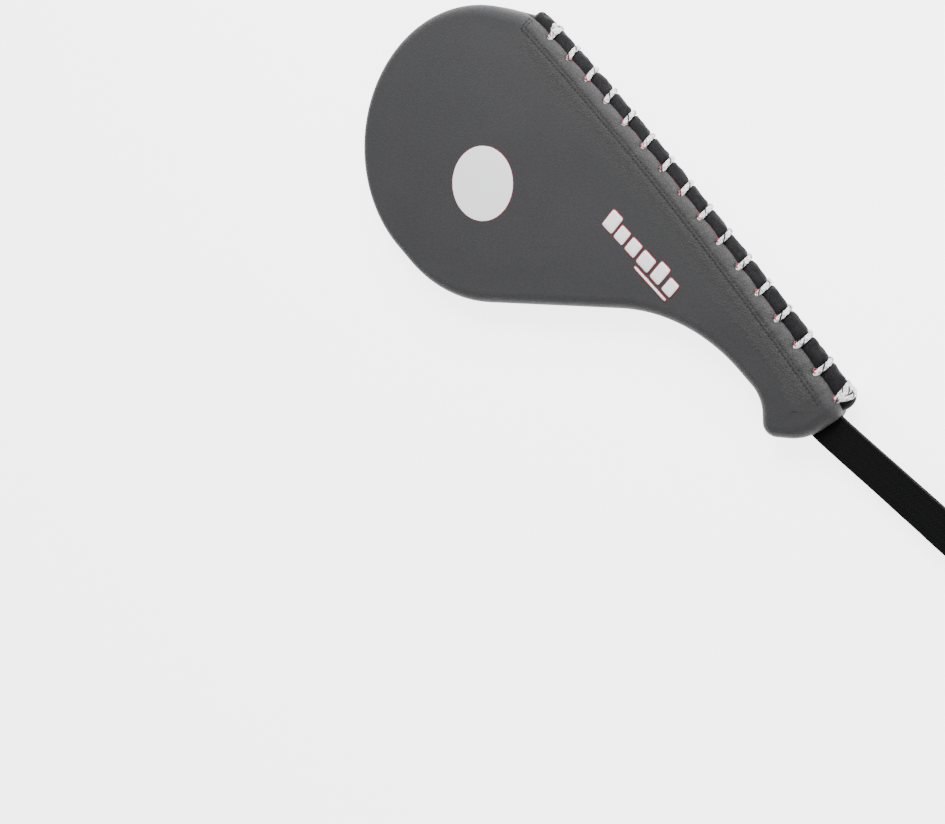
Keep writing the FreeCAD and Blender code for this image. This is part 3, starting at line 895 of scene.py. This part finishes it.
def make_hems():
    """Dark red lining that shows as a thin line under each hem, and a rim in every lace hole."""
    chosen = settings()
    lining = plain_finish("facing_cloth", tuple(chosen.facing_colour), 0.62, 1500.0, 0.00012,
                          mottling=0.35, sheen=0.1)
    puff = chosen.puff / MM
    for side, name in ((1, "front_hem_lining"), (-1, "back_hem_lining")):
        along = np.linspace(-7.0, LACE_LENGTH + 7.0, 420)
        path, _ = cover_surface(along, hem_girth(along), side, puff)
        _, normal = edge_at(along)
        path[:, :2] -= normal * LINING_INSET
        path[:, 2] -= side * LINING_INSET
        run = np.linspace(0, 1, len(path))
        radius = LINING_RADIUS * ease(run * 40) * ease((1 - run) * 40) + 0.05
        piece = tube_piece(name, path, radius, 8)
        finish_piece(piece, "root", lining)
    ring, tube = np.meshgrid(round_angles(20), round_angles(6), indexing="ij")
    reach = RIM_RADIUS + LINING_RADIUS * np.cos(tube)
    rim = (reach * np.cos(ring), reach * np.sin(ring), LINING_RADIUS * np.sin(tube))
    template = np.stack(rim, axis=-1).reshape(-1, 3)
    faces, _, _ = grid_faces(20, 6, True, True)
    for side, name in ((1, "front_hole_rims"), (-1, "back_hole_rims")):
        places = hole_places(side)
        girth = np.full(places.shape, HOLE_GIRTH)
        point, outward = cover_surface(places, girth, side, puff, with_relief=False)
        relief = cover_relief(places + 2.1, girth, point[:, 0], point[:, 1], side, puff)
        point = point + outward * (relief[:, None] * 0.5 + 0.1)
        _, normal = edge_at(places)
        way = np.stack([normal[:, 1], -normal[:, 0], np.zeros(len(places))], axis=1)
        axes = np.stack([way, np.cross(outward, way), outward], axis=1)
        piece = repeated(name, template, faces, point, axes)
        finish_piece(piece, "root", lining)


def stitch_rows(side, pitch, puff):
    """Middle, heading and normal of every stitch: two rows along the lacing that turn down at the head."""
    middles, ways, outwards = [], [], []
    for row, first in zip(STITCH_GIRTHS, STITCH_FIRST):
        runs = np.arange(first + pitch / 2, STITCH_LAST, pitch)
        legs = np.arange(row - pitch / 2, LEG_LOW_GIRTH, -pitch)
        along = np.concatenate([runs, np.full(len(legs), first)])
        girth = np.concatenate([np.full(len(runs), row), legs])
        step_along = np.concatenate([np.full(len(runs), 0.6), np.zeros(len(legs))])
        step_girth = np.concatenate([np.zeros(len(runs)), np.full(len(legs), 0.6)])
        point, outward = cover_surface(along, girth, side, puff)
        ahead, _ = cover_surface(along + step_along, girth + step_girth, side, puff)
        way = ahead - point
        middles.append(point)
        ways.append(unit(way))
        outwards.append(outward)
    return np.concatenate(middles), np.concatenate(ways), np.concatenate(outwards)


THREAD_RADIUS = 0.32


def make_stitches():
    """Dark thread along the lacing: each stitch is a short bowed bar that dips in at both ends."""
    chosen = settings()
    pitch = chosen.stitch_pitch / MM
    thread = plain_finish("dark_thread", (0.012, 0.012, 0.013), 0.6, 2600.0, 0.00008, mottling=0.4)
    length = np.linspace(-0.5, 0.5, 7)
    place, turn = np.meshgrid(length, round_angles(6), indexing="ij")
    thick = THREAD_RADIUS * np.sqrt(np.clip(1 - (2 * np.abs(place)) ** 3, 0, 1))
    bow = 0.30 - 1.5 * place ** 2
    stitch = (place * pitch * 0.9, thick * np.cos(turn), bow + thick * np.sin(turn))
    template = np.stack(stitch, axis=-1).reshape(-1, 3)
    faces, _, _ = grid_faces(7, 6, wrap_columns=True)
    for side, name in ((1, "front_stitching"), (-1, "back_stitching")):
        middle, way, outward = stitch_rows(side, pitch, chosen.puff / MM)
        across = np.cross(outward, way)
        axes = np.stack([way, across, outward], axis=1)
        piece = repeated(name, template, faces, middle, axes)
        finish_piece(piece, "root", thread)


LACE_OUT_CENTRE = -2.6
LACE_OUT_REACH = 7.0
LACE_Z_REACH = 8.75
BRAID_LAY = 4.2
BRAID_RIDGES = 3


def crossing_drift(along):
    """How far a crossing is carried towards the handle where it passes outside the roll."""
    return 3.0 * ease((along - 20.0) / 290.0)


def roll_growth(along):
    """How much further the roll and the lace round it stand out, growing towards the handle."""
    return 0.3 + 3.0 * ease((along - 190.0) / 120.0)


def lace_place(turns, fan=0.0, stand=0.0):
    """The lace winds round the tongue as a flattened helix: out goes with the sine of the turns, height
    with the cosine, and it moves one pitch along with every turn. Fan moves it along where it is out."""
    angle = 2 * math.pi * turns
    outer = np.clip(-np.sin(angle), 0, 1)
    along = FIRST_HOLE + turns * LACE_PITCH + fan * outer
    out = LACE_OUT_CENTRE - LACE_OUT_REACH * np.sin(angle) + (stand + roll_growth(along)) * outer
    along = along + crossing_drift(along) * outer
    return edge_place(along, out, MID + LACE_Z_REACH * np.cos(angle))


def braid_ribs(run, angle):
    """Small ridges of the plait on the lace's surface: the higher of two sine waves that cross."""
    one = np.sin(BRAID_RIDGES * angle + run * 2 * math.pi / BRAID_LAY)
    other = np.sin(BRAID_RIDGES * angle - run * 2 * math.pi / BRAID_LAY)
    return 1 + 0.06 * np.maximum(one, other)


LACE_AROUND = 14
KNOT_SQUEEZE = 0.78
WRAP_SQUEEZE = 0.82


def make_lace():
    """The lace, its knot at the head and its last turns at the handle. The knot is a trefoil: it
    winds twice round its middle while its height rises and falls three times."""
    chosen = settings()
    radius = chosen.lace_radius / MM
    braid = lace_braid(tuple(chosen.lace_colour), (0.008, 0.008, 0.009))
    turns = np.linspace(-0.52, LACE_HOLES - 1 + 0.04, 1400)
    piece = tube_piece("lace_run", lace_place(turns), radius, LACE_AROUND, braid_ribs)
    finish_piece(piece, "root", braid, ("lace",))
    swing = np.linspace(-0.53, 0.03, 70)
    crossing = tube_grid(lace_place(swing, fan=2.0, stand=0.5), radius, LACE_AROUND, braid_ribs)
    t = np.linspace(0.35, 2 * math.pi - 0.1, 120)
    centre = edge_place(np.array([4.6]), np.array([3.9]), 17.0)[0]
    _, normal = edge_at(np.array([3.0]))
    out = np.array([normal[0, 0], normal[0, 1], 0.5])
    out = unit(out)
    way = np.array([normal[0, 1], -normal[0, 0], 0.0])
    third = np.cross(out, way)
    knot = centre + way * ((np.sin(t) + 2 * np.sin(2 * t)) * 0.95)[:, None]
    knot = knot + third * ((np.cos(t) - 2 * np.cos(2 * t)) * 0.85)[:, None]
    knot = knot + out * (-np.sin(3 * t) * 0.9)[:, None]
    knotted = tube_grid(knot, radius * KNOT_SQUEEZE, LACE_AROUND, braid_ribs)
    piece = joined_tubes("lace_start_wrap", [crossing, knotted])
    finish_piece(piece, "root", braid, ("lace_start_knot",))
    strands = []
    for fan, stand in ((-2.9, 0.3), (2.9, 0.6)):
        path = lace_place(LACE_HOLES - 1 + swing, fan, stand)
        strands.append(tube_grid(path, radius * WRAP_SQUEEZE, LACE_AROUND, braid_ribs))
    piece = joined_tubes("lace_end_wrap", strands)
    finish_piece(piece, "root", braid, ("lace_end_knot",))


def make_tongue():
    """The black roll under the lace: an oval section carried along the edge, pinched where the lace
    crosses, tapered and tucked in at both ends."""
    chosen = settings()
    swell = chosen.tongue_swell / MM
    start = -27.0
    end = LACE_LENGTH + 18.0
    place, turn = np.meshgrid(np.linspace(start, end, 580), round_angles(44), indexing="ij")
    taper = ease((place - start) / 19.0) * ease((end - place) / 9.0) ** 0.7
    height = 6.25 * np.sin(turn)
    outer = np.clip(np.cos(turn), 0, 1)
    crossing = FIRST_HOLE - np.arccos(np.clip(height / LACE_Z_REACH, -1, 1)) / (2 * math.pi) * LACE_PITCH
    crossing = crossing + crossing_drift(place) * outer
    gap = np.mod(place - crossing + LACE_PITCH / 2, LACE_PITCH) - LACE_PITCH / 2
    pinch = bell(np.abs(gap), 2.1, 2.4)
    unevenness = 0.28 * ripples(place / 9.0, turn / 1.6, 21, 12)
    reach = (2.9 + swell + unevenness) - (swell - 2.1) * pinch + roll_growth(place)
    back = 1.6
    wide = np.where(np.cos(turn) > 0, reach * outer, back * np.cos(turn))
    centre = -2.9 - 2.5 * (1 - taper)
    out = centre + wide * (0.25 + 0.75 * taper)
    lift = MID + height * (0.45 + 0.55 * taper)
    points = edge_place(place, out, lift)
    middle = points.mean(axis=1, keepdims=True)
    piece = grid_piece("lacing_roll", closed_ends(points, middle[:1], middle[-1:]))
    leather = tongue_leather(tuple(chosen.tongue_colour))
    finish_piece(piece, "root", leather, ("lacing_tongue",))


FILM_ROOT = -0.4
BAR_AROUND = 40
BAR_SQUARENESS = 0.22


def disc_grid(radius, top, edge, puff, front=True):
    """A thin round film: rings from the middle out, over the rim and back under, following the face."""
    rim = [radius - 0.08, radius, radius - 0.15, radius * 0.5, 0.0]
    ring = np.concatenate([np.linspace(0, radius - 0.3, 16), rim])
    lift = np.concatenate([np.full(16, top), [top - 0.04, top - 0.14, edge, edge, edge]])
    r, a = np.meshgrid(ring, round_angles(96), indexing="ij")
    x = SPOT_CENTRE[0] + r * np.cos(a)
    y = SPOT_CENTRE[1] + r * np.sin(a)
    base = face_lift(x, y, puff) if front else np.full(x.shape, 0.0)
    z = base + lift[:, None] if front else base - lift[:, None]
    return np.stack([x, y, z], axis=-1)


def make_marks():
    """White target spots with a thin red edging, and a row of plain bars near the handle."""
    chosen = settings()
    puff = chosen.puff / MM
    radius = chosen.spot_diameter / MM / 2
    film = spot_film(tuple(chosen.spot_colour))
    edging = plain_finish("red_edging", (0.30, 0.012, 0.03), 0.5, 1200.0, 0.00006, mottling=0.3)
    for front, name in ((True, "front"), (False, "back")):
        grid = disc_grid(radius, 0.30 if front else 0.04, FILM_ROOT, puff, front)
        piece = grid_piece(name + "_spot_film", grid)
        finish_piece(piece, "root", film, (name + "_target_spot",))
        grid = disc_grid(radius + 0.42, 0.16 if front else 0.01, FILM_ROOT, puff, front)
        piece = grid_piece(name + "_spot_edging", grid)
        finish_piece(piece, "root", edging)
    piece = mark_piece("mark_bars", 0.0, 0.34, puff)
    finish_piece(piece, "root", film, ("front_print",))
    piece = mark_piece("mark_edging", 0.55, 0.22, puff)
    finish_piece(piece, "root", edging)


def mark_piece(name, grow, top, puff):
    """The bars of the mark, each grown all round and lifted off the face. A bar is a rounded
    rectangle: the cosine and sine round it, drawn towards its corners by a small power."""
    start, width, height, low = MARK_BARS.T[:, :, None, None]
    corner = round_angles(BAR_AROUND)
    shape_x = np.sign(np.cos(corner)) * np.abs(np.cos(corner)) ** BAR_SQUARENESS
    shape_y = np.sign(np.sin(corner)) * np.abs(np.sin(corner)) ** BAR_SQUARENESS
    scale = np.array([0.0, 0.5, 1.0, 1.0, 0.0])[:, None]
    inset = np.array([0.0, 0.0, -0.12, 0.0, 0.0])[:, None]
    lift = np.array([top, top, top, top - 0.12, -0.3])[:, None]
    x = start + width / 2 + (width / 2 + grow + inset) * scale * shape_x
    y = low + height / 2 + (height / 2 + grow + inset) * scale * shape_y
    place_x = MARK_PLACE[0] + x * math.cos(MARK_LEAN) - y * math.sin(MARK_LEAN)
    place_y = MARK_PLACE[1] + x * math.sin(MARK_LEAN) + y * math.cos(MARK_LEAN)
    points = np.stack([place_x, place_y, face_lift(place_x, place_y, puff) + lift], axis=-1)
    faces, _, _ = grid_faces(len(scale), BAR_AROUND, wrap_columns=True)
    return put_many(name, points.reshape(len(MARK_BARS), -1, 3), faces)


def smooth_path(corners, count):
    """A smooth line through few points: a cubic B-spline's points, evenly spaced along it."""
    corners = np.asarray(corners, dtype=float)
    padded = np.concatenate([corners[:1], corners[:1], corners, corners[-1:], corners[-1:]])
    spans = len(padded) - 3
    t = np.linspace(0, spans, count * 4)
    index = np.minimum(t.astype(int), spans - 1)
    u = (t - index)[:, None]
    weights = ((1 - u) ** 3, 3 * u ** 3 - 6 * u ** 2 + 4, -3 * u ** 3 + 3 * u ** 2 + 3 * u + 1, u ** 3)
    points = sum(weight * padded[index + k] for k, weight in enumerate(weights)) / 6
    run = run_along(points)
    even = np.linspace(0, run[-1], count)
    return np.stack([np.interp(even, run, points[:, k]) for k in range(points.shape[1])], axis=1)


def strap_place(reach, across, height):
    """A point on the strap's own lines, in place: turned in plan, let fall at the hinge and moved there.
    Inside the handle it lies level and turns towards the handle's line."""
    outside = STRAP_TURN - END_TURN
    inside = TAIL_TURN - END_TURN
    share = ease((reach + 16.0) / 14.0)
    skew = inside + (outside - inside) * share
    drop = (MID - EYE_HALF - FLOOR_GAP) / ((STRAP_REACH - EYE_HALF) * math.cos(outside))
    fall = math.asin(drop) * ease((reach + 2.0) / 6.0)
    x = reach * np.cos(skew) - across * np.sin(skew)
    y = reach * np.sin(skew) + across * np.cos(skew)
    dropped_x = x * np.cos(fall) + height * np.sin(fall)
    dropped_z = -x * np.sin(fall) + height * np.cos(fall)
    turned_x = dropped_x * math.cos(END_TURN) - y * math.sin(END_TURN)
    turned_y = dropped_x * math.sin(END_TURN) + y * math.cos(END_TURN)
    return np.stack([turned_x, turned_y, dropped_z], axis=-1) + STRAP_PIVOT


def make_webbing():
    """The wrist webbing: one band that runs out of the handle, round an eye and back in, sewn
    together. Its section, a flat band with rounded edges, is carried along the line it follows."""
    chosen = settings()
    half = STRAP_PLY / 2
    eye = EYE_HALF - half
    straight = [(reach, half) for reach in (-TAIL_LENGTH, -40, -20, 0, 30, 60, 90, 110)]
    top = straight + [(118, half + 0.2), (128, 3.4), (138, eye), (150, eye * 1.02)]
    nose = [(156.4, 3.4), (157.6, 0.0), (156.4, -3.4)]
    low = [(x, -z) for x, z in top[::-1]]
    path = smooth_path(top + nose + low, 560)
    way = unit(np.gradient(path, axis=0))
    normal = np.stack([-way[:, 1], way[:, 0]], axis=1)
    band = np.linspace(STRAP_WIDTH / 2, -STRAP_WIDTH / 2, 22)
    edge = np.array([10.72, 10.78, 10.72])
    edge_thick = np.array([half * 0.55, 0.0, -half * 0.55])
    across = np.concatenate([-band, edge, band, -edge])
    thick = np.concatenate([np.full(22, half * 0.94), edge_thick, np.full(22, -half * 0.94), -edge_thick])
    selvedge = 1 + 0.10 * bell(np.abs(across) - 9.9, 0.5)
    waver = 0.10 * ripples(path[:, 0] / 45.0, path[:, 1] / 9.0, 31, 8)
    reach = path[:, None, 0] + normal[:, None, 0] * (thick * selvedge)[None]
    height = path[:, None, 1] + normal[:, None, 1] * (thick * selvedge)[None]
    points = strap_place(reach, across[None] + waver[:, None], height)
    run = run_along(path)
    middle = points.mean(axis=1, keepdims=True)
    points = closed_ends(points, middle[:1], middle[-1:])
    piece = grid_piece("wrist_webbing", points, u=np.concatenate([run[:1], run, run[-1:]]),
                       v=np.concatenate([across, across[:1]]))
    weave = strap_weave(tuple(chosen.webbing_colour))
    finish_piece(piece, None, weave, ("wrist_loop", "strap_tails"))
    direction = strap_place(np.array([40.0]), np.array([0.0]), np.array([0.0]))[0] - STRAP_PIVOT
    direction = unit(direction)
    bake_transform(piece)


def dress_inner_parts():
    """Finishes for the model's own parts that stay: foam, board, rivets, washers, filler and facings."""
    chosen = settings()
    foam = plain_finish("pale_foam", (0.55, 0.55, 0.52), 0.85, 900.0, 0.0003, mottling=0.12)
    board = plain_finish("spring_board", (0.05, 0.05, 0.05), 0.5, 400.0, 0.0001, mottling=0.2)
    steel = plain_finish("rivet_steel", (0.55, 0.55, 0.56), 0.35, 800.0, 0.00005, metallic=1.0, mottling=0.1)
    lining = plain_finish("inner_facing_cloth", tuple(chosen.facing_colour), 0.7, 1500.0, 0.0001,
                          mottling=0.35)
    finishes = {
        "front_foam": foam, "middle_foam": foam, "back_foam": foam, "tongue_filler": foam,
        "handle_stiffener": board, "strap_rivets": steel, "rivet_washers": steel,
        "front_hem_facing": lining, "back_hem_facing": lining,
    }
    for name, finish in finishes.items():
        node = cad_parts[name]
        node.data.materials.clear()
        node.data.materials.append(finish)


def make_stage():
    """Pale floor, soft lights and the camera."""
    corners = np.array([(-1, -1, 0), (1, -1, 0), (1, 1, 0), (-1, 1, 0)]) * FLOOR_HALF
    corners[:, 2] = FLOOR_LEVEL
    floor = put_mesh("floor", corners / MM, np.array([[0, 1, 2, 3]]), smooth=False)
    material, _, shader = start_material("pale_floor")
    shader.inputs["Base Color"].default_value = (0.92, 0.92, 0.92, 1.0)
    shader.inputs["Roughness"].default_value = 0.9
    shader.inputs["Specular IOR Level"].default_value = 0.1
    shader.inputs["Emission Color"].default_value = (1.0, 1.0, 1.0, 1.0)
    shader.inputs["Emission Strength"].default_value = 3.6
    floor.data.materials.append(material)
    world = bpy.data.worlds.new("studio")
    world.use_nodes = True
    sky = world.node_tree.nodes["Background"]
    sky.inputs["Color"].default_value = (1.0, 1.0, 1.0, 1.0)
    sky.inputs["Strength"].default_value = 0.7
    bpy.context.scene.world = world
    add_light("key", (-0.05, 0.85, 0.8), (0.06, 0.02, 0.0), 23.0, 0.7)
    add_light("fill", (-0.9, 0.1, 1.1), (0.05, 0.0, 0.0), 6.0, 1.2)
    camera = bpy.data.cameras.new("camera")
    camera.lens = CAMERA_LENS
    camera.sensor_width = 36.0
    camera.clip_start = 0.01
    camera.clip_end = 100.0
    seat = bpy.data.objects.new("camera", camera)
    bpy.context.scene.collection.objects.link(seat)
    aim(seat, CAMERA_RIGHT, CAMERA_UP, CAMERA_BACK, CAMERA_PLACE)
    bpy.context.scene.camera = seat


def aim(holder, right, up, back, place):
    """Puts a camera or a light at a place, with its three axes along the given directions."""
    rows = [(right[k], up[k], back[k], place[k]) for k in range(3)]
    holder.matrix_world = Matrix([*rows, (0.0, 0.0, 0.0, 1.0)])


def add_light(name, place, target, power, size):
    """A square soft light at a place, turned towards a target."""
    light = bpy.data.lights.new(name, "AREA")
    light.shape = "SQUARE"
    light.size = size
    light.energy = power
    holder = bpy.data.objects.new(name, light)
    bpy.context.scene.collection.objects.link(holder)
    back = unit(np.array(place) - np.array(target))
    right = unit(np.cross([0.0, 0.0, 1.0], back))
    aim(holder, right, np.cross(back, right), back, place)


# ---------------------------------------------------------------- operators and panel


class PADDLE_OT_covers(Operator):
    """Make both padded leather covers"""

    bl_idname = "paddle.covers"
    bl_label = "Covers"
    bl_options = {"REGISTER", "UNDO"}

    def execute(self, context):
        make_covers()
        return {"FINISHED"}


class PADDLE_OT_hems(Operator):
    """Make the red hem linings and hole rims"""

    bl_idname = "paddle.hems"
    bl_label = "Hems and Hole Rims"
    bl_options = {"REGISTER", "UNDO"}

    def execute(self, context):
        make_hems()
        return {"FINISHED"}


class PADDLE_OT_stitches(Operator):
    """Make the rows of stitches beside the lacing"""

    bl_idname = "paddle.stitches"
    bl_label = "Stitching"
    bl_options = {"REGISTER", "UNDO"}

    def execute(self, context):
        make_stitches()
        return {"FINISHED"}


class PADDLE_OT_tongue(Operator):
    """Make the black roll under the lace"""

    bl_idname = "paddle.tongue"
    bl_label = "Lacing Roll"
    bl_options = {"REGISTER", "UNDO"}

    def execute(self, context):
        make_tongue()
        return {"FINISHED"}


class PADDLE_OT_lace(Operator):
    """Make the braided lace with its wraps at both ends"""

    bl_idname = "paddle.lace"
    bl_label = "Lace"
    bl_options = {"REGISTER", "UNDO"}

    def execute(self, context):
        make_lace()
        return {"FINISHED"}


class PADDLE_OT_marks(Operator):
    """Make the target spots and the plain printed bars"""

    bl_idname = "paddle.marks"
    bl_label = "Spots and Print"
    bl_options = {"REGISTER", "UNDO"}

    def execute(self, context):
        make_marks()
        return {"FINISHED"}


class PADDLE_OT_webbing(Operator):
    """Make the wrist webbing and its eye"""

    bl_idname = "paddle.webbing"
    bl_label = "Wrist Webbing"
    bl_options = {"REGISTER", "UNDO"}

    def execute(self, context):
        make_webbing()
        return {"FINISHED"}


class PADDLE_OT_inner_parts(Operator):
    """Give the model's own inner parts their finishes"""

    bl_idname = "paddle.inner_parts"
    bl_label = "Inner Parts"
    bl_options = {"REGISTER", "UNDO"}

    def execute(self, context):
        dress_inner_parts()
        return {"FINISHED"}


class PADDLE_OT_stage(Operator):
    """Make the floor, the lights and the camera"""

    bl_idname = "paddle.stage"
    bl_label = "Stage"
    bl_options = {"REGISTER", "UNDO"}

    def execute(self, context):
        make_stage()
        return {"FINISHED"}


OPERATORS = (
    PADDLE_OT_stage,
    PADDLE_OT_covers,
    PADDLE_OT_hems,
    PADDLE_OT_stitches,
    PADDLE_OT_tongue,
    PADDLE_OT_lace,
    PADDLE_OT_marks,
    PADDLE_OT_webbing,
    PADDLE_OT_inner_parts,
)


class PADDLE_PT_panel(Panel):
    """Sizes, colours and steps of the kick paddle"""

    bl_label = "Kick Paddle"
    bl_idname = "PADDLE_PT_panel"
    bl_space_type = "VIEW_3D"
    bl_region_type = "UI"
    bl_category = "Paddle"

    def draw(self, context):
        layout = self.layout
        chosen = context.scene.paddle_settings
        for name in PaddleSettings.__annotations__:
            layout.prop(chosen, name)
        for operator in OPERATORS:
            layout.operator(operator.bl_idname)


CLASSES = (PaddleSettings, *OPERATORS, PADDLE_PT_panel)


def register():
    for each in CLASSES:
        bpy.utils.register_class(each)
    bpy.types.Scene.paddle_settings = PointerProperty(type=PaddleSettings)


def unregister():
    del bpy.types.Scene.paddle_settings
    for each in reversed(CLASSES):
        bpy.utils.unregister_class(each)


def main():
    register()
    bpy.ops.paddle.stage()
    bpy.ops.paddle.covers()
    bpy.ops.paddle.hems()
    bpy.ops.paddle.stitches()
    bpy.ops.paddle.tongue()
    bpy.ops.paddle.lace()
    bpy.ops.paddle.marks()
    bpy.ops.paddle.webbing()
    bpy.ops.paddle.inner_parts()


if __name__ == "__main__":
    main()
